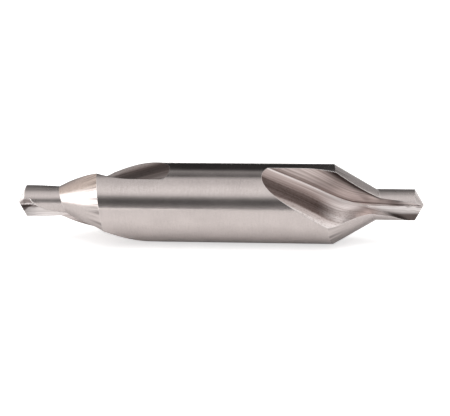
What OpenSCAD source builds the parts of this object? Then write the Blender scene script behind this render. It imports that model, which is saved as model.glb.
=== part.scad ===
// Centre drill: a double-ended combined drill and countersink, ground from one bar of high-speed steel.
// The axis runs along X, with the origin at mid-length on the axis. Both ends are alike.
// Angles about the axis are measured from the -Y side, upwards.

/* [Body] */
// Diameter of the plain body that the chuck holds
body_d = 12.5; // [11.5:0.1:13.5]
// Overall length, from point to point
overall_l = 64; // [58:0.5:70]

/* [Pilot drill] */
// Diameter of the pilot, over its cutting edges
pilot_d = 5; // [4.5:0.1:5.5]
// Length of the pilot, from the point to the cone
pilot_l = 6.8; // [6.4:0.1:7.2]
// Included angle of the point
point_angle = 120; // [114:1:126]
// Distance from the axis to the tip of each conical flank of the point
flank_offset = 0.5; // [0.4:0.05:0.6]

/* [Countersink] */
// Included angle of the cone
cone_angle = 60; // [57:1:63]

/* [Relief behind the cutting edges] */
// How far off the axis the cone of a land stands
cone_relief = 0.45; // [0.3:0.05:0.6]
// How far a pilot land falls away over a quarter turn behind the rake face
pilot_relief = 0.08; // [0.02:0.01:0.14]
// Turn from the rake face at the point to where the relief of the cone is steepest
cone_relief_turn = 90; // [80:1:100]
// Turn from the rake face at the point to where the relief of the pilot starts
pilot_relief_turn = -3; // [-8:1:2]

/* [Flutes] */
// Axial length of one full turn of the rake face
flute_lead = 104; // [92:1:125]
// Length over which the rake face twists before it runs out straight
twist_l = 16.2; // [15:0.1:17.5]
// Distance of the rake face from the axis
rake_offset = 0.23; // [0.18:0.01:0.3]
// Distance of the groove wall behind the rake face from the axis
wall_offset = 0.4; // [0.34:0.01:0.5]
// Angle between the rake face and the groove wall, at the point
groove_angle = 108; // [103:1:113]
// Radius in the corner between the rake face and the groove wall
root_r = 0.6; // [0.4:0.05:0.8]
// Length at which the floor of the flute leaves the body
flute_l = 24.8; // [23.8:0.1:26]
// Angle between the floor and the axis, on the body
floor_slope = 23; // [22:0.2:24]
// Angle between the floor and the axis, on the cone
inner_slope = 19; // [18:0.2:20]
// Turn from the rake face at the point to the way that the floor faces, where it leaves the body
floor_turn = 35; // [32:1:38]
// Length from the point at which the floor starts to lean
floor_lean_l = 20; // [19:0.1:21]
// How far the floor leans in each millimetre towards the cone's base
floor_lean = 1.1; // [0.8:0.05:1.4]
// Length from the point at which the floor starts to turn towards the pilot
floor_twist_l = 13.5; // [12.8:0.1:14.2]
// How far the floor turns in each millimetre towards the point
floor_twist = 5.2; // [4.6:0.1:5.8]
// Length from the point at which the floor stops turning
floor_end_l = 4.7; // [4.2:0.1:5.2]

/* [Turn about the axis] */
// Angle of the rake face at the point of the +X end
lip_turn = 26; // [0:1:90]
// Turn of the -X end against the +X end, after that end is swapped end for end
far_end_turn = 134; // [90:1:180]

/* [Hidden] */

// Smoothness of the round faces, and the steps along and across a flute
$fn = 96;
flute_step = 0.5;
root_steps = 6;
mark_count = 4;
mark_reach_ratio = 1.35;
least_wall = 0.3;
least_gap = 0.02;
floor_slack = 0.001;

body_r = body_d / 2;
pilot_r = pilot_d / 2;
tip_x = overall_l / 2;
mark_reach = mark_reach_ratio * body_r;

// Past the ends and the body's surface, where a form only has to be larger than the body
far_out = 3 * body_r;
past_tip = 1;
past_run_out = 1;

// Length from the point that holds all of the cone, the length of the pilot's forms, which end inside
// the cone, and the part of the cone that hides inside the pilot
land_l = 3 * pilot_l;
pilot_form_l = land_l / 2;
stub_l = pilot_r;
flank_lead = flank_offset / tan(point_angle / 2);

// Directions about the axis in which the relieved forms stand off it
cone_lean = lip_turn + cone_relief_turn - 90;
pilot_lean = lip_turn + pilot_relief_turn - 90;
flank_back = 121;
flank_lean = lip_turn - flank_back;
// The plane between the two lands lies inside the flutes all the way along
split_back = 21;
split_turn = lip_turn - split_back;
split_overlap = 0.05;

// Unit vector across the axis at an angle about it, in the plane of a cross-section
function across(angle) = [cos(angle), sin(angle)];

// A point of a cross-section at one end. The -X end is the +X end swapped end for end, and then turned.
function placed(far, x, p) =
    let (
        swapped_y = p[0] * cos(far_end_turn) + p[1] * sin(far_end_turn),
        swapped_z = p[1] * cos(far_end_turn) - p[0] * sin(far_end_turn)
    )
    far ? [-x, swapped_y, swapped_z] : [x, -p[0], p[1]];

// A ramp of slope one that levels off smoothly at its limit
function levelled(x, limit, blend) =
    x < limit - blend ? x
    : x > limit + blend ? limit
    : x - pow(x - limit + blend, 2) / (4 * blend);

// Stations along a flute, from in front of the point to beyond the run-out
sweep_l = past_tip + flute_l + past_run_out;
flute_steps = ceil(sweep_l / flute_step);
stations = [for (i = [0 : flute_steps]) -past_tip + i * sweep_l / flute_steps];

// The rake face's turn about the axis, with a soft end to the twist
rake_blend = 3;
function rake_turn(behind) = lip_turn + levelled(behind, twist_l, rake_blend) * 360 / flute_lead;
wall_way = lip_turn + 90 - groove_angle;

// The floor's direction and distance from the axis. It rises out of the body, leans back towards the cone's
// base, and from there turns towards the pilot.
floor_blend = 1.5;
function before(behind, limit) = limit - levelled(behind, limit, floor_blend);
function floor_way(behind) =
    let (at = max(behind, floor_end_l))
    lip_turn + floor_turn
    - floor_lean * before(at, floor_lean_l)
    + (floor_lean + floor_twist) * before(at, floor_twist_l);
function floor_distance(behind) =
    body_r
    - (flute_l - behind) * tan(floor_slope)
    + before(behind, floor_twist_l) * (tan(floor_slope) - tan(inner_slope));

// Outline of a flute: in along the rake face, round the root, along the groove wall and out along the floor.
// What of the root and the wall lies under the floor is lifted onto it.
function flute_outline(behind) =
    let (
        rake_way = rake_turn(behind) - 90,
        corner = wall_way - rake_way,
        rake_gap = rake_offset + root_r,
        wall_gap = wall_offset + root_r,
        along_rake = (rake_gap - wall_gap * cos(corner)) / pow(sin(corner), 2),
        along_wall = (wall_gap - rake_gap * cos(corner)) / pow(sin(corner), 2),
        centre = along_rake * across(rake_way) + along_wall * across(wall_way),
        rake_out = across(rake_way + 90),
        wall_out = across(wall_way - 90),
        rake_foot = centre - root_r * across(rake_way),
        wall_foot = centre - root_r * across(wall_way),
        floor_up = across(floor_way(behind)),
        floor_out = across(floor_way(behind) - 90),
        floor_foot = floor_distance(behind) * floor_up,
        rake_end = max(0, (floor_distance(behind) - rake_foot * floor_up) / (rake_out * floor_up)),
        wall_end = max(least_wall, (floor_distance(behind) - wall_foot * floor_up) / (wall_out * floor_up)),
        rake_mark = (mark_reach - rake_end) / mark_count,
        rake_points = [for (k = [mark_count : -1 : 0]) rake_foot + (rake_end + k * rake_mark) * rake_out],
        corner_points = concat(
            [for (k = [1 : root_steps]) centre - root_r * across(rake_way + k * corner / root_steps)],
            [wall_foot + wall_end * wall_out]
        ),
        first_out = rake_points[mark_count] * floor_out,
        lifted = [
            for (k = [0 : root_steps])
                let (
                    p = corner_points[k],
                    out = max(p * floor_out, first_out + (k + 1) * least_gap)
                )
                p * floor_up > floor_distance(behind) - floor_slack ? p : floor_foot + out * floor_out
        ],
        last_out = lifted[root_steps] * floor_out,
        floor_mark = (mark_reach - last_out) / mark_count
    )
    concat(
        [rake_foot + far_out * rake_out],
        rake_points,
        lifted,
        [for (k = [1 : mark_count]) floor_foot + (last_out + k * floor_mark) * floor_out],
        [floor_foot + far_out * floor_out]
    );

// The material that one flute takes away: a solid through one outline per station
module flute_waste(far, side) {
    outlines = [for (s = stations) side * flute_outline(s)];
    count = len(outlines[0]);
    last = len(outlines) - 1;
    points = [for (i = [0 : last]) for (p = outlines[i]) placed(far, tip_x - stations[i], p)];
    sides = [
        for (i = [0 : last - 1]) for (j = [0 : count - 1])
            let (
                a = i * count + j,
                b = i * count + (j + 1) % count
            )
            each [[a, a + count, b + count], [a, b + count, b]]
    ];
    front = [for (j = [0 : count - 1]) j];
    back = [for (j = [count - 1 : -1 : 0]) last * count + j];
    polyhedron(points, concat([front], sides, [back]));
}

// Cone that stands off the axis, so it falls away behind one cutting edge. The edge meets the pilot at
// the pilot's length.
module cone_form() {
    slope = tan(cone_angle / 2);
    start_turn = rake_turn(pilot_l) - lip_turn - cone_relief_turn;
    apex = pilot_l - (pilot_r + cone_relief * sin(start_turn)) / slope;
    full_l = land_l - apex + past_tip;
    shift = cone_relief * across(cone_lean);
    translate([tip_x - apex - stub_l, -shift[0], shift[1]])
        rotate([0, -90, 0])
        cylinder(h = full_l - stub_l, r1 = stub_l * slope, r2 = full_l * slope);
}

// The material that grinding one land of the cone takes away, on its side of the axis
module land_waste() {
    difference() {
        rotate([-split_turn, 0, 0])
            translate([tip_x - land_l, -far_out, -split_overlap])
            cube([land_l + past_tip, 2 * far_out, far_out]);
        cone_form();
    }
}

// Cylinder of the pilot that stands off the axis, so it falls away behind one cutting edge
module pilot_round() {
    shift = pilot_relief * across(pilot_lean);
    translate([tip_x - pilot_form_l, -shift[0], shift[1]])
        rotate([0, 90, 0])
        cylinder(h = pilot_form_l + past_tip, r = pilot_r);
}

// Cone under one flank of the point
module flank() {
    flank_l = pilot_form_l + flank_lead;
    shift = flank_offset * across(flank_lean);
    translate([tip_x + flank_lead, -shift[0], shift[1]])
        rotate([0, -90, 0])
        cylinder(h = flank_l, r1 = 0, r2 = flank_l * tan(point_angle / 2));
}

// Pilot of the +X end, before its flutes. Each of its two rounds and flanks limits one land.
module pilot() {
    intersection_for (turn = [0, 180])
        rotate([turn, 0, 0]) {
            intersection() {
                pilot_round();
                flank();
            }
        }
}

// Turns a form of the +X end into that of the -X end
module far_end() {
    rotate([-far_end_turn, 0, 0]) rotate([0, 0, 180]) children();
}

// Body with the cones of both ends, before the flutes
module body() {
    difference() {
        rotate([0, 90, 0]) cylinder(h = overall_l, d = body_d, center = true);
        for (turn = [0, 180]) {
            rotate([turn, 0, 0]) land_waste();
            far_end() rotate([turn, 0, 0]) land_waste();
        }
    }
}

module centre_drill() {
    color("#b9b2b0")
        difference() {
            union() {
                body();
                pilot();
                far_end() pilot();
            }
            for (far = [false, true], side = [1, -1])
                flute_waste(far, side);
        }
}

centre_drill();
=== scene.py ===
"""A ground steel centre drill that lies on a white floor, seen from the photograph's viewpoint."""

from collections import defaultdict
from math import cos, hypot, pi, radians, sin, tan

import bpy
from mathutils import Matrix, Vector
from mathutils.kdtree import KDTree


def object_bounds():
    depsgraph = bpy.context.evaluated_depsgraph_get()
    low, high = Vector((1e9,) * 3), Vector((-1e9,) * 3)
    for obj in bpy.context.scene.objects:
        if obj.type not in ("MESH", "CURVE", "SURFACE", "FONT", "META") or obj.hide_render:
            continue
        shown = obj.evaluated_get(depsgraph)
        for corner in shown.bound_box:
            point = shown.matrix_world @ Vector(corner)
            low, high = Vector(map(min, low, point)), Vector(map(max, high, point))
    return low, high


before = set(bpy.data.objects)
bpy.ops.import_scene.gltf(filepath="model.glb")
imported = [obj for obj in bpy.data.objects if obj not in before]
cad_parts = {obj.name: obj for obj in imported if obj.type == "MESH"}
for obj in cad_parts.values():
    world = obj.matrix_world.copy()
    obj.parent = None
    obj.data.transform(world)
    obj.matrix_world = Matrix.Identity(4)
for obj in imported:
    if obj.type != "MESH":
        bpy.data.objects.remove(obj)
cad_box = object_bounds()

MM = 0.001
PER_MM = 1 / MM
WHITE = (1, 1, 1)
# Sockets of a Mix node for colours by number, because their names repeat: factor, first, second and result
MIX_INPUTS = (0, 6, 7)
MIX_RESULT = 2

# Camera, fitted to the outline of the body and to both points
IMAGE_WIDTH_PX = 450
SENSOR_MM = 36.0
FOCAL_PX = 1400
CAMERA_DISTANCE = 219.83 * MM
CAMERA_RISE = radians(20)
CAMERA_YAW = radians(6.5)
CAMERA_ROLL = radians(0.67)
CAMERA_SHIFT_RIGHT = -1.075 * MM
CAMERA_SHIFT_UP = 0.851 * MM
NEAREST_SEEN = 10 * MM
FARTHEST_SEEN = 20.0

# Light of the studio by its height angle in degrees, from the camera's side over the top to the back
FRONT_LIGHT = [
    (0, 0.5), (6, 0.27), (16, 0.12), (25, 0.11), (31, 0.3),
    (38, 0.75), (46, 1.02), (58, 1.02), (75, 0.8), (91, 0.68),
]
MIDDLE_LIGHT = FRONT_LIGHT + [(100, 0.12), (107, 0.2), (120, 0.33), (127, 0.1), (136, 0.03), (175, 0.03)]
NEAR_LEFT_LIGHT = FRONT_LIGHT + [(100, 0.3), (120, 0.35), (136, 0.3), (175, 0.3)]
FAR_LEFT_LIGHT = [
    (0, 2.3), (68, 2.3), (84, (0.98, 0.9, 0.82)), (112, (0.85, 0.77, 0.7)),
    (140, (0.7, 0.64, 0.6)), (165, (0.5, 0.46, 0.44)),
]
RIGHT_LIGHT = [
    (0, 0.6), (12, 0.45), (30, 0.45), (55, 0.85), (80, 1.05),
    (105, 0.95), (118, 0.6), (128, 0.42), (170, 0.4),
]
# The lights to the sides, each with how far sideways a direction points where it starts and where it is full
SIDE_LIGHTS = [
    (RIGHT_LIGHT, (-0.05, 0.12)),
    (NEAR_LEFT_LIGHT, (-0.2, -0.3)),
    (FAR_LEFT_LIGHT, (-0.52, -0.76)),
]

# White floor, with its glow for the camera, and its glow in the steel near the drill and far to the left
FLOOR_SIZE = 4.0
FLOOR_COLOUR = (0.82, 0.82, 0.82)
FLOOR_GLOW_SEEN = 0.6
FLOOR_GLOW_MIRRORED = 0.03
FLOOR_GLOW_LEFT = 1.6
FLOOR_LEFT_SPAN = (-48 * MM, -75 * MM)
FLOOR_LAMP_HEIGHT = 400 * MM
FLOOR_LAMP_SIZE = 500 * MM
FLOOR_LAMP_WATTS = 1.0

# Sizes of the drill in mm. The cones and the point are given by the angle between their slope and the axis.
BODY_R = cad_box[1][2] * PER_MM
TIP_X = cad_box[1][0] * PER_MM
PILOT_R = 2.5
PILOT_START = 25.2
POINT_L = 2.0
CONE_ANGLE = radians(30)
POINT_ANGLE = radians(60)

# How a face is told by its normal: the lean along the axis, and the part that points outwards or around
LEAN_TOLERANCE = 0.03
ROUND_LEAST = 0.98
CONE_LEAST = 0.8
RAKE_MOST = -0.75
# Number of the steel on each kind of surface
STEEL_SLOTS = {"round": 0, "cone": 1, "rake": 2, "floor": 2}
# Facets of a flute are smoothed together up to this angle, given by its cosine
FLUTE_SMOOTH = cos(radians(50))
# Digits of a place in mm, the least distance from a crease in mm, which keeps its sign, and the number of
# stops in the profile of the creases
PLACE_DIGITS = 4
LEAST_DISTANCE = 0.001
CREASE_STOPS = 20

# Colours of the ground steel
STEEL_LIGHT = (0.65, 0.582, 0.562)
STEEL_DARK = (0.56, 0.5, 0.482)
# Colour of the painted glint along the edges
GLINT_COLOUR = (0.93, 0.89, 0.87)
# Rounded edges with a painted glint: their radius, the glint's strength, the samples that find the edges,
# and how alike the rounded and the flat normal are where the glint starts and where it is full
EDGE_R = 0.13 * MM
GLINT_STRENGTH = 0.9
EDGE_SAMPLES = 6
EDGE_SPAN = (0.99, 0.93)

# Patterns of the steels: how many grains there are to a mm in the three directions, and the noise's detail
ROUND_LINES = ((9.0, 0.7, 0.7), 3.0)
ROUND_GRAIN = ((3.5, 4.5, 4.5), 3.0)
ROUND_CLOUDS = ((0.25, 0.4, 0.4), 2.0)
CONE_GRAIN = ((4.0, 4.0, 4.0), 2.0)
FLUTE_SPECKS = ((3.5, 3.5, 3.5), 3.0)
# Streaks of a cone: the grains are counted to a mm along the axis, and to a radian around it
CONE_STREAKS = ((0.1, 14.0, 14.0), 3.0)
# Streaks of a flute: the grains are counted along the axis and away from the crease, and the third number
# keeps the two sides of the crease apart
FLUTE_STREAKS = ((0.1, 4.0, 7.0), 4.0)
FLUTE_WAVES = ((0.07, 1.3, 5.0), 2.0)

# Round faces: the shares of lines, clouds and grain in the tone, the tones from dark to light, the shares of
# lines and grain in the height, the roughness, the depth, and how much rougher the pilots are, from which
# radius in mm and fully at which
ROUND_TONE_SHARES = (0.3, 0.35, 0.35)
ROUND_TONES = (0.35, 0.6)
ROUND_HEIGHT_SHARES = (0.6, 1.2)
ROUND_ROUGHNESS = (0.1, 0.22)
ROUND_DEPTH = 0.0025 * MM
PILOT_ROUGHER = 0.12
PILOT_RADII = (3.4, 2.6)

# Cones and point: the radii in mm over which the streaks set in, the darkest streak, the streaks and grains
# from dark to light, the share of the grain in the height, the roughness and the depth
STREAK_RADII = (4.3, 6.4)
STREAK_DARK = (0.33, 0.292, 0.28)
STREAK_TONES = (0.38, 0.55)
GRAIN_TONES = (0.3, 0.65)
GRAIN_SHARE = 0.2
CONE_ROUGHNESS = (0.12, 0.24)
CONE_DEPTH = 0.004 * MM

# Flutes: painted light and shade, as how light the steel is by its distance in mm from the crease, negative
# on the
# rake face: a highlight along the crease, shade beside it, and in the run-out a band of shade across the
# floor
FLUTE_REACH = 6.5
FLUTE_RUN_OUT = [
    (-6.0, 0.6), (-3.8, 0.6), (-2.6, 0.75), (-0.7, 0.7), (-0.3, 0.42), (-0.14, 0.25),
    (-0.04, 1.0), (0.2, 1.0), (0.32, 0.6), (0.9, 0.58), (1.5, 0.42),
    (2.2, 0.18), (3.6, 0.13), (4.6, 0.24), (5.2, 0.7), (6.0, 1.0),
]
FLUTE_CONE = [
    (-5.0, 0.7), (-2.1, 0.92), (-0.6, 0.88), (-0.3, 0.42), (-0.14, 0.25),
    (-0.04, 1.0), (0.25, 1.0), (0.4, 0.9), (1.5, 0.92), (3.0, 0.92), (4.6, 1.0),
]
# Distances from mid-length in mm between which the lightness of the run-out gives way to that of the cone
CONE_CHANGE = (15.5, 20.5)
# Distances from mid-length in mm between which a floor's place comes to be told by its radius
BY_RADIUS_SPAN = (21.5, 24.5)
# How far the bands of lightness waver to both sides, and from which distance from the crease, in mm
WAVER = 0.8
WAVER_SPAN = (0.3, 1.5)
# Green and blue of the brown, as shares of the red: where it is black, and what is added where it is white
BROWN_GREEN = (0.72, 0.2)
BROWN_BLUE = (0.65, 0.25)
# Tone of the darkest streak, the streaks from dark to light, the roughness of dark and light ones, the depth
FLUTE_STREAK_DARK = (0.66, 0.62, 0.6)
FLUTE_STREAK_TONES = (0.32, 0.6)
FLUTE_ROUGHNESS = (0.4, 0.24)
FLUTE_DEPTH = 0.006 * MM
# Dark specks of a floor: the noise where they start and are full, the distances from the crease in mm over
# which they set in, and their tone
SPECK_LEVELS = (0.5, 0.36)
SPECK_SPAN = (1.2, 2.6)
SPECK_TONE = (0.8, 0.77, 0.76)
# Shade on the rake faces of the +X end along the cutting edge: how far it reaches and where it is full, as
# shares of the edge's radius, where it sets in and where it ends in mm along the axis, and its tone
RAKE_SHADE_SPAN = (0.3, 0.08)
RAKE_SHADE_START = (14, 18)
RAKE_SHADE_END = (27, 24.5)
RAKE_SHADE = (0.13, 0.11, 0.105)
# Shade on the rake faces at both points, a triangle: its length and height in mm, its soft border, its tone
TIP_SHADE_L = 2.6
TIP_SHADE_H = 1.5
TIP_SHADE_SPAN = (1.05, 0.85)
TIP_SHADE = (0.3, 0.25, 0.24)
# Shade on the pilot's groove walls at the +X end: the radii in mm over which it sets in, how far its border
# slants along the axis to a mm of radius, where the border would meet the axis in mm, and its tone
WALL_SHADE_RADII = (1.0, 1.6)
WALL_SHADE_SLANT = -1.6
WALL_SHADE_SPAN = (23.0, 25.0)
WALL_SHADE = (0.17, 0.135, 0.125)
# Where the brown of a flute pales towards the pilot, in mm from mid-length, and how much of it is left
PALE_SPAN = (23.5, 26)
PALE_LEFT = 0.7
# Hollow of a floor: how much of the rake face's normal it takes on at the crease, and how far out that goes.
# It grows from mid-length until it is full, and fades over a length before its end. All lengths are in mm.
HOLLOW = 0.75
HOLLOW_REACH = 2.6
HOLLOW_FULL = 20
HOLLOW_FADE = 4
HOLLOW_END = 26


def feed(tree, value, socket):
    """Sets a socket to a number or a colour, or links another socket to it."""
    if isinstance(value, tuple):
        socket.default_value = (*value, 1)
    elif isinstance(value, (int, float)):
        socket.default_value = value
    else:
        tree.links.new(value, socket)


def node_of(tree, kind, **settings):
    """A new node with these settings."""
    made = tree.nodes.new(kind)
    for name, value in settings.items():
        setattr(made, name, value)
    return made


def coordinates(tree, kind):
    """The three parts of a texture coordinate."""
    place = node_of(tree, "ShaderNodeTexCoord").outputs[kind]
    parts = node_of(tree, "ShaderNodeSeparateXYZ")
    tree.links.new(place, parts.inputs[0])
    return list(parts.outputs)


def maths(tree, operation, *values):
    """A Math node on sockets or numbers. Returns its output."""
    made = node_of(tree, "ShaderNodeMath", operation=operation)
    for value, socket in zip(values, made.inputs):
        feed(tree, value, socket)
    return made.outputs[0]


def product(tree, first, *others):
    """All the values multiplied."""
    for other in others:
        first = maths(tree, "MULTIPLY", first, other)
    return first


def weighed_sum(tree, values, shares):
    """The sum of the values, each times its share."""
    total = 0.0
    for value, share in zip(values, shares):
        total = maths(tree, "MULTIPLY_ADD", value, share, total)
    return total


def between(tree, value, low, high):
    """Spreads a value of 0 to 1 over a range."""
    return maths(tree, "MULTIPLY_ADD", value, high - low, low)


def smooth_step(tree, value, start, end):
    """Rises smoothly from 0 at the start to 1 at the end."""
    made = node_of(tree, "ShaderNodeMapRange", interpolation_type="SMOOTHSTEP")
    for given, socket in zip((value, start, end), made.inputs):
        feed(tree, given, socket)
    return made.outputs[0]


def ramp(tree, value, stops):
    """A colour ramp through grey levels or colours. Returns its output."""
    made = node_of(tree, "ShaderNodeValToRGB")
    elements = made.color_ramp.elements
    while len(elements) > 1:
        elements.remove(elements[-1])
    for place, (position, level) in enumerate(stops):
        element = elements[0] if place == 0 else elements.new(position)
        element.position = position
        colour = level if isinstance(level, tuple) else (level, level, level)
        element.color = (*colour, 1)
    tree.links.new(value, made.inputs["Fac"])
    return made.outputs["Color"]


def mix(tree, factor, first, second, blend="MIX"):
    """Mixes two colours, each a socket or a constant."""
    made = node_of(tree, "ShaderNodeMix", data_type="RGBA", blend_type=blend)
    for value, number in zip((factor, first, second), MIX_INPUTS):
        feed(tree, value, made.inputs[number])
    return made.outputs[MIX_RESULT]


def noise(tree, place, stretch, detail):
    """Noise of about one grain per unit of a place that is stretched in its three directions."""
    vector = node_of(tree, "ShaderNodeCombineXYZ")
    for part, times, socket in zip(place, stretch, vector.inputs):
        feed(tree, maths(tree, "MULTIPLY", part, times), socket)
    made = node_of(tree, "ShaderNodeTexNoise")
    tree.links.new(vector.outputs[0], made.inputs["Vector"])
    made.inputs["Scale"].default_value = 1.0
    made.inputs["Detail"].default_value = detail
    return made.outputs["Fac"]


def make_camera():
    """The photograph's camera: right, up and back are its axes."""
    towards = Vector((0, -cos(CAMERA_RISE), sin(CAMERA_RISE)))
    upright = Vector((0, sin(CAMERA_RISE), cos(CAMERA_RISE)))
    along = Vector((1, 0, 0))
    level_right = along * cos(CAMERA_YAW) - towards * sin(CAMERA_YAW)
    back = along * sin(CAMERA_YAW) + towards * cos(CAMERA_YAW)
    right = level_right * cos(CAMERA_ROLL) + upright * sin(CAMERA_ROLL)
    up = upright * cos(CAMERA_ROLL) - level_right * sin(CAMERA_ROLL)
    place = back * CAMERA_DISTANCE - right * CAMERA_SHIFT_RIGHT - up * CAMERA_SHIFT_UP

    data = bpy.data.cameras.new("camera")
    data.sensor_fit = "HORIZONTAL"
    data.sensor_width = SENSOR_MM
    data.lens = SENSOR_MM * FOCAL_PX / IMAGE_WIDTH_PX
    data.clip_start = NEAREST_SEEN
    data.clip_end = FARTHEST_SEEN
    camera = bpy.data.objects.new("camera", data)
    turn = Matrix((right, up, back)).transposed().to_4x4()
    camera.matrix_world = Matrix.Translation(place) @ turn
    bpy.context.scene.collection.objects.link(camera)
    bpy.context.scene.camera = camera


def bands_of_light(tree, height, bands):
    """Light by height, where a height of 1 is half a turn."""
    return ramp(tree, height, [(radians(degrees) / pi, level) for degrees, level in bands])


def make_world():
    """A plain studio: bands of light by height, others to both sides, and white where the camera looks."""
    world = bpy.data.worlds.new("studio")
    bpy.context.scene.world = world
    world.use_nodes = True
    tree = world.node_tree
    tree.nodes.clear()
    sideways, back, up = coordinates(tree, "Generated")
    front = maths(tree, "MULTIPLY", back, -1.0)
    height = maths(tree, "DIVIDE", maths(tree, "ARCTAN2", up, front), pi)
    light = bands_of_light(tree, height, MIDDLE_LIGHT)
    for bands, span in SIDE_LIGHTS:
        to_side = smooth_step(tree, sideways, *span)
        light = mix(tree, to_side, light, bands_of_light(tree, height, bands))

    studio = node_of(tree, "ShaderNodeBackground")
    feed(tree, light, studio.inputs["Color"])
    white = node_of(tree, "ShaderNodeBackground")
    feed(tree, WHITE, white.inputs["Color"])
    seen = node_of(tree, "ShaderNodeLightPath").outputs["Is Camera Ray"]
    choice = node_of(tree, "ShaderNodeMixShader")
    for given, socket in zip((seen, studio.outputs[0], white.outputs[0]), choice.inputs):
        tree.links.new(given, socket)
    output = node_of(tree, "ShaderNodeOutputWorld")
    tree.links.new(choice.outputs[0], output.inputs["Surface"])


def make_floor():
    """A white floor under the body. It glows a little for the camera, and keeps the shadow.

    In the steel it looks dark near the drill, and bright far to the left.
    """
    bpy.ops.mesh.primitive_plane_add(size=FLOOR_SIZE, location=(0, 0, cad_box[0][2]))
    floor = bpy.context.object
    floor.name = "floor"
    material = bpy.data.materials.new("floor")
    material.use_nodes = True
    tree = material.node_tree
    tree.nodes.clear()
    diffuse = node_of(tree, "ShaderNodeBsdfDiffuse")
    feed(tree, FLOOR_COLOUR, diffuse.inputs["Color"])
    glow = node_of(tree, "ShaderNodeEmission")
    path = node_of(tree, "ShaderNodeLightPath").outputs
    left = smooth_step(tree, coordinates(tree, "Object")[0], *FLOOR_LEFT_SPAN)
    glow_mirrored = between(tree, left, FLOOR_GLOW_MIRRORED, FLOOR_GLOW_LEFT)
    glows = (FLOOR_GLOW_SEEN, glow_mirrored)
    level = weighed_sum(tree, (path["Is Camera Ray"], path["Is Glossy Ray"]), glows)
    feed(tree, level, glow.inputs["Strength"])
    both = node_of(tree, "ShaderNodeAddShader")
    tree.links.new(diffuse.outputs[0], both.inputs[0])
    tree.links.new(glow.outputs[0], both.inputs[1])
    output = node_of(tree, "ShaderNodeOutputMaterial")
    tree.links.new(both.outputs[0], output.inputs["Surface"])
    floor.data.materials.append(material)


def make_floor_lamp():
    """A wide lamp overhead that lights the floor. The steel doesn't mirror it."""
    data = bpy.data.lights.new("floor lamp", "AREA")
    data.shape = "DISK"
    data.size = FLOOR_LAMP_SIZE
    data.energy = FLOOR_LAMP_WATTS
    lamp = bpy.data.objects.new("floor lamp", data)
    lamp.location = (0, 0, FLOOR_LAMP_HEIGHT)
    lamp.visible_glossy = False
    lamp.visible_camera = False
    bpy.context.scene.collection.objects.link(lamp)


class Steel:
    """A steel in the making: its material, and the place on the drill in mm from the middle of its axis."""

    def __init__(self, name):
        self.material = bpy.data.materials.new(name)
        self.material.use_nodes = True
        self.tree = self.material.node_tree
        self.place = [product(self.tree, part, PER_MM) for part in coordinates(self.tree, "Object")]
        self.along, *across = self.place
        self.from_middle = maths(self.tree, "ABSOLUTE", self.along)
        squares = [product(self.tree, part, part) for part in across]
        self.radius = maths(self.tree, "SQRT", maths(self.tree, "ADD", *squares))

    def finish(self, colour, roughness, height, depth, edge_glint=GLINT_STRENGTH):
        """Joins colour, roughness and a pressed height pattern, with rounded normals and a thin painted
        glint along the edges.
        """
        tree = self.tree
        shader = tree.nodes["Principled BSDF"]
        shader.inputs["Metallic"].default_value = 1.0
        rounded_edges = node_of(tree, "ShaderNodeBevel", samples=EDGE_SAMPLES)
        rounded_edges.inputs["Radius"].default_value = EDGE_R
        flat = node_of(tree, "ShaderNodeNewGeometry").outputs["Normal"]
        likeness = node_of(tree, "ShaderNodeVectorMath", operation="DOT_PRODUCT")
        tree.links.new(rounded_edges.outputs[0], likeness.inputs[0])
        tree.links.new(flat, likeness.inputs[1])
        glint_share = product(tree, smooth_step(tree, likeness.outputs["Value"], *EDGE_SPAN), edge_glint)
        feed(tree, mix(tree, glint_share, colour, GLINT_COLOUR), shader.inputs["Base Color"])
        feed(tree, roughness, shader.inputs["Roughness"])
        bump = node_of(tree, "ShaderNodeBump")
        feed(tree, depth, bump.inputs["Distance"])
        feed(tree, height, bump.inputs["Height"])
        tree.links.new(rounded_edges.outputs[0], bump.inputs["Normal"])
        tree.links.new(bump.outputs[0], shader.inputs["Normal"])
        return self.material


def dark_to_light(tree, value, span, dark, light):
    """A colour that goes from dark to light over a span of a value."""
    return ramp(tree, value, list(zip(span, (dark, light))))


def round_steel():
    """Steel of the body and the pilots: fine grinding lines around the axis, a grain and faint clouds."""
    steel = Steel("round ground steel")
    tree = steel.tree
    lines, grain, clouds = (
        noise(tree, steel.place, *pattern) for pattern in (ROUND_LINES, ROUND_GRAIN, ROUND_CLOUDS)
    )
    tone = weighed_sum(tree, (lines, clouds, grain), ROUND_TONE_SHARES)
    colour = dark_to_light(tree, tone, ROUND_TONES, STEEL_DARK, STEEL_LIGHT)
    on_pilot = smooth_step(tree, steel.radius, *PILOT_RADII)
    roughness = maths(tree, "MULTIPLY_ADD", on_pilot, PILOT_ROUGHER, between(tree, clouds, *ROUND_ROUGHNESS))
    height = weighed_sum(tree, (lines, grain), ROUND_HEIGHT_SHARES)
    return steel.finish(colour, roughness, height, ROUND_DEPTH)


def cone_steel():
    """Steel of the cones and the point: streaks down the slope near the base, from grinding the relief."""
    steel = Steel("relieved ground steel")
    tree = steel.tree
    around = [maths(tree, "DIVIDE", part, steel.radius) for part in steel.place[1:]]
    streaks = noise(tree, (steel.along, *around), *CONE_STREAKS)
    grain = noise(tree, steel.place, *CONE_GRAIN)
    near_base = smooth_step(tree, steel.radius, *STREAK_RADII)
    streaked = dark_to_light(tree, streaks, STREAK_TONES, STREAK_DARK, STEEL_LIGHT)
    plain = dark_to_light(tree, grain, GRAIN_TONES, STEEL_DARK, STEEL_LIGHT)
    colour = mix(tree, near_base, plain, streaked)
    height = weighed_sum(tree, (near_base, grain), (streaks, GRAIN_SHARE))
    return steel.finish(colour, between(tree, grain, *CONE_ROUGHNESS), height, CONE_DEPTH)


def browned(level):
    """Steel of a lightness, browner where it is darker."""
    green, blue = (level * (least + more * level) for least, more in (BROWN_GREEN, BROWN_BLUE))
    return level, green, blue


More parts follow.
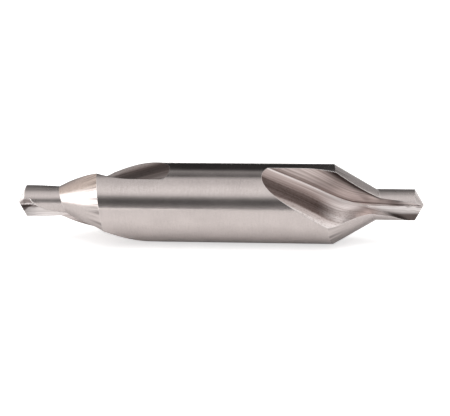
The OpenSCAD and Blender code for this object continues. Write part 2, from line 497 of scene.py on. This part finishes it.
def place_in_flute(steel, crease_radii):
    """Which side of the crease a spot is on, whether that is a rake face, and its distance from the crease.

    The distance is in mm, and negative on a rake face. It comes from the mesh on a floor, and from the
    radius on a rake face and near the point.
    """
    tree = steel.tree
    by_mesh = node_of(tree, "ShaderNodeAttribute", attribute_name="crease").outputs["Fac"]
    side = maths(tree, "SIGN", by_mesh)
    on_rake = maths(tree, "LESS_THAN", by_mesh, 0.0)
    share = maths(tree, "DIVIDE", steel.from_middle, TIP_X)
    crease_radius = product(tree, ramp(tree, share, crease_radii), BODY_R)
    by_radius = product(tree, maths(tree, "SUBTRACT", steel.radius, crease_radius), side)
    weight = maths(tree, "MAXIMUM", on_rake, smooth_step(tree, steel.from_middle, *BY_RADIUS_SPAN))
    change = product(tree, maths(tree, "SUBTRACT", by_radius, by_mesh), weight)
    return side, on_rake, maths(tree, "ADD", by_mesh, change)


def on_flute_ramp(tree, crease, levels):
    """Brown of the lightness that belongs to a distance from the crease."""
    width = 2 * FLUTE_REACH
    position = maths(tree, "DIVIDE", maths(tree, "ADD", crease, FLUTE_REACH), width)
    return ramp(tree, position, [((mm + FLUTE_REACH) / width, browned(level)) for mm, level in levels])


def edge_shade(steel, on_rake):
    """How much of the shade along the cutting edge lies on a spot."""
    tree = steel.tree
    slope = tan(CONE_ANGLE)
    on_cone = maths(tree, "MULTIPLY_ADD", steel.from_middle, -slope, PILOT_R + PILOT_START * slope)
    edge_radius = maths(tree, "MAXIMUM", on_cone, PILOT_R)
    to_edge = maths(tree, "SUBTRACT", 1.0, maths(tree, "DIVIDE", steel.radius, edge_radius))
    starts, ends = (
        smooth_step(tree, steel.along, *span) for span in (RAKE_SHADE_START, RAKE_SHADE_END)
    )
    return product(tree, on_rake, smooth_step(tree, to_edge, *RAKE_SHADE_SPAN), starts, ends)


def tip_shade(steel, on_rake, crease):
    """How much of the dark triangle at a point lies on a spot."""
    tree = steel.tree
    from_tip = maths(tree, "SUBTRACT", TIP_X, steel.from_middle)
    from_corner = weighed_sum(tree, (from_tip, crease), (1 / TIP_SHADE_L, -1 / TIP_SHADE_H))
    return product(tree, on_rake, smooth_step(tree, from_corner, *TIP_SHADE_SPAN))


def wall_shade(steel, on_rake):
    """How much of the shade on the pilot's groove wall lies on a spot."""
    tree = steel.tree
    off_rake = maths(tree, "SUBTRACT", 1.0, on_rake)
    slanted = maths(tree, "MULTIPLY_ADD", steel.radius, WALL_SHADE_SLANT, steel.along)
    outside = smooth_step(tree, steel.radius, *WALL_SHADE_RADII)
    return product(tree, off_rake, smooth_step(tree, slanted, *WALL_SHADE_SPAN), outside)


def flute_steel(crease_radii):
    """Steel of the flutes: brown, with streaks along the crease and painted light and shade across the
    flute.
    """
    steel = Steel("fluted ground steel")
    tree = steel.tree
    side, on_rake, crease = place_in_flute(steel, crease_radii)
    streaks, waves = (
        noise(tree, (steel.along, crease, side), *pattern) for pattern in (FLUTE_STREAKS, FLUTE_WAVES)
    )
    outer = smooth_step(tree, maths(tree, "ABSOLUTE", crease), *WAVER_SPAN)
    wavering = maths(tree, "ADD", crease, product(tree, between(tree, waves, -WAVER, WAVER), outer))
    # These tables paint a highlight along the crease, and shade beside it and across the floor
    run_out, cone = (on_flute_ramp(tree, wavering, levels) for levels in (FLUTE_RUN_OUT, FLUTE_CONE))
    colour = mix(tree, smooth_step(tree, steel.from_middle, *CONE_CHANGE), run_out, cone)
    streaked = dark_to_light(tree, streaks, FLUTE_STREAK_TONES, FLUTE_STREAK_DARK, WHITE)
    colour = mix(tree, 1.0, colour, streaked, "MULTIPLY")

    speckled = smooth_step(tree, noise(tree, steel.place, *FLUTE_SPECKS), *SPECK_LEVELS)
    specks = product(tree, speckled, smooth_step(tree, crease, *SPECK_SPAN))
    on_wall = wall_shade(steel, on_rake)
    # Real specks, then painted shade along the cutting edge, at the points and on the pilot's groove wall
    specks_and_shades = (
        (specks, SPECK_TONE),
        (edge_shade(steel, on_rake), RAKE_SHADE),
        (tip_shade(steel, on_rake, crease), TIP_SHADE),
        (on_wall, WALL_SHADE),
    )
    for share, tone in specks_and_shades:
        colour = mix(tree, share, colour, tone, "MULTIPLY")
    paled = node_of(tree, "ShaderNodeHueSaturation")
    near_pilot = smooth_step(tree, steel.from_middle, *PALE_SPAN)
    feed(tree, between(tree, near_pilot, 1.0, PALE_LEFT), paled.inputs["Saturation"])
    feed(tree, colour, paled.inputs["Color"])
    roughness = between(tree, streaks, *FLUTE_ROUGHNESS)
    # The painted glint along the edges fades where the groove wall is painted with shade
    edge_glint = between(tree, on_wall, GLINT_STRENGTH, 0.0)
    return steel.finish(paled.outputs["Color"], roughness, streaks, FLUTE_DEPTH, edge_glint)


def surface_of(place, normal):
    """Which ground surface a face belongs to, by its place and its normal: round, cone, rake or floor."""
    outward = Vector((0, place.y, place.z)).normalized()
    around = Vector((0, outward.z, -outward.y)) * (1 if place.x > 0 else -1)
    lean = abs(normal.x)
    facing = normal.dot(outward)
    if lean < LEAN_TOLERANCE and facing > ROUND_LEAST:
        return "round"
    if abs(lean - sin(CONE_ANGLE)) < LEAN_TOLERANCE and facing > CONE_LEAST:
        return "cone"
    if abs(lean - sin(POINT_ANGLE)) < LEAN_TOLERANCE and abs(place.x) * PER_MM > TIP_X - POINT_L:
        return "cone"
    return "rake" if normal.dot(around) < RAKE_MOST else "floor"


def surfaces_of(mesh):
    """The ground surface of each face."""
    surfaces = []
    for face in mesh.polygons:
        normals = [mesh.corner_normals[corner].vector for corner in face.loop_indices]
        surfaces.append(surface_of(face.center, sum(normals, Vector()).normalized()))
    return surfaces


def rounded(parts):
    """A place in mm with its parts rounded, so that places that meet are equal."""
    return tuple(round(part, PLACE_DIGITS) for part in parts)


def corner_places(mesh):
    """The rounded place of each face corner."""
    points = [rounded(part * PER_MM for part in vertex.co) for vertex in mesh.vertices]
    return [points[corner.vertex_index] for corner in mesh.loops]


def smooth_flutes(mesh, surfaces, places):
    """Normals of all face corners: the flutes' facets are smoothed by area, and exact faces stay exact."""
    normals = [corner.vector.copy() for corner in mesh.corner_normals]
    meeting = defaultdict(list)
    facets = [face for face, surface in zip(mesh.polygons, surfaces) if surface in ("rake", "floor")]
    for face in facets:
        for corner in face.loop_indices:
            meeting[places[corner]].append((normals[corner], face.area))
    smoothed = list(normals)
    for face in facets:
        for corner in face.loop_indices:
            own = normals[corner]
            others = meeting[places[corner]]
            alike = [other * area for other, area in others if other.dot(own) > FLUTE_SMOOTH]
            total = sum(alike, Vector())
            smoothed[corner] = total.normalized() if total.length else own
    return smoothed


def hollow_floors(mesh, surfaces, places, normals, nearest):
    """Turns the floors' normals towards the rake face near the crease, where the real floor is hollow."""
    rake_normals = defaultdict(Vector)
    for face, surface in zip(mesh.polygons, surfaces):
        if surface != "rake":
            continue
        for corner in face.loop_indices:
            rake_normals[places[corner]] += normals[corner] * face.area
    for face, surface in zip(mesh.polygons, surfaces):
        if surface != "floor" or abs(face.center.x) * PER_MM > HOLLOW_END:
            continue
        for corner in face.loop_indices:
            spot, _, distance = nearest.find(places[corner])
            swell = max(0, min(1, abs(spot.x) / HOLLOW_FULL, (HOLLOW_END - abs(spot.x)) / HOLLOW_FADE))
            turn = HOLLOW * swell * max(0, 1 - distance / HOLLOW_REACH)
            turned = normals[corner] + turn * rake_normals[rounded(spot)].normalized()
            normals[corner] = turned.normalized()


def crease_places(mesh, surfaces, places):
    """The places where a rake face meets a floor, in order."""
    met = {"rake": set(), "floor": set()}
    for face, surface in zip(mesh.polygons, surfaces):
        if surface in met:
            met[surface].update(places[corner] for corner in face.loop_indices)
    return sorted(met["rake"] & met["floor"])


def finder(points):
    """A search tree for the nearest of the points."""
    nearest = KDTree(len(points))
    for index, point in enumerate(points):
        nearest.insert(point, index)
    nearest.balance()
    return nearest


def mark_creases(mesh, surfaces, places, nearest):
    """Gives each face corner its distance in mm from the nearest crease, negative on the rake faces."""
    crease = mesh.attributes.new("crease", "FLOAT", "CORNER")
    for face, surface in zip(mesh.polygons, surfaces):
        side = -1 if surface == "rake" else 1
        for corner in face.loop_indices:
            _, _, distance = nearest.find(places[corner])
            crease.data[corner].value = side * max(distance, LEAST_DISTANCE)


def crease_profile(points):
    """Radius of the creases by the distance from mid-length, both as shares of the drill's own."""
    spots = sorted((abs(x) / TIP_X, hypot(y, z) / BODY_R) for x, y, z in points)
    step = (len(spots) - 1) / (CREASE_STOPS - 1)
    return [spots[round(k * step)] for k in range(CREASE_STOPS)]


def finish_drill():
    """Gives each ground surface of the drill its steel, and the flutes smooth normals."""
    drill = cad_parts["centre_drill"]
    mesh = drill.data
    places = corner_places(mesh)
    surfaces = surfaces_of(mesh)
    creases = crease_places(mesh, surfaces, places)
    nearest = finder(creases)
    normals = smooth_flutes(mesh, surfaces, places)
    hollow_floors(mesh, surfaces, places, normals, nearest)
    mark_creases(mesh, surfaces, places, nearest)

    mesh.materials.clear()
    for material in (round_steel(), cone_steel(), flute_steel(crease_profile(creases))):
        mesh.materials.append(material)
    for face, surface in zip(mesh.polygons, surfaces):
        face.use_smooth = True
        face.material_index = STEEL_SLOTS[surface]
    mesh.normals_split_custom_set(normals)


make_camera()
make_world()
make_floor()
make_floor_lamp()
finish_drill()
bpy.context.scene.view_settings.view_transform = "Standard"
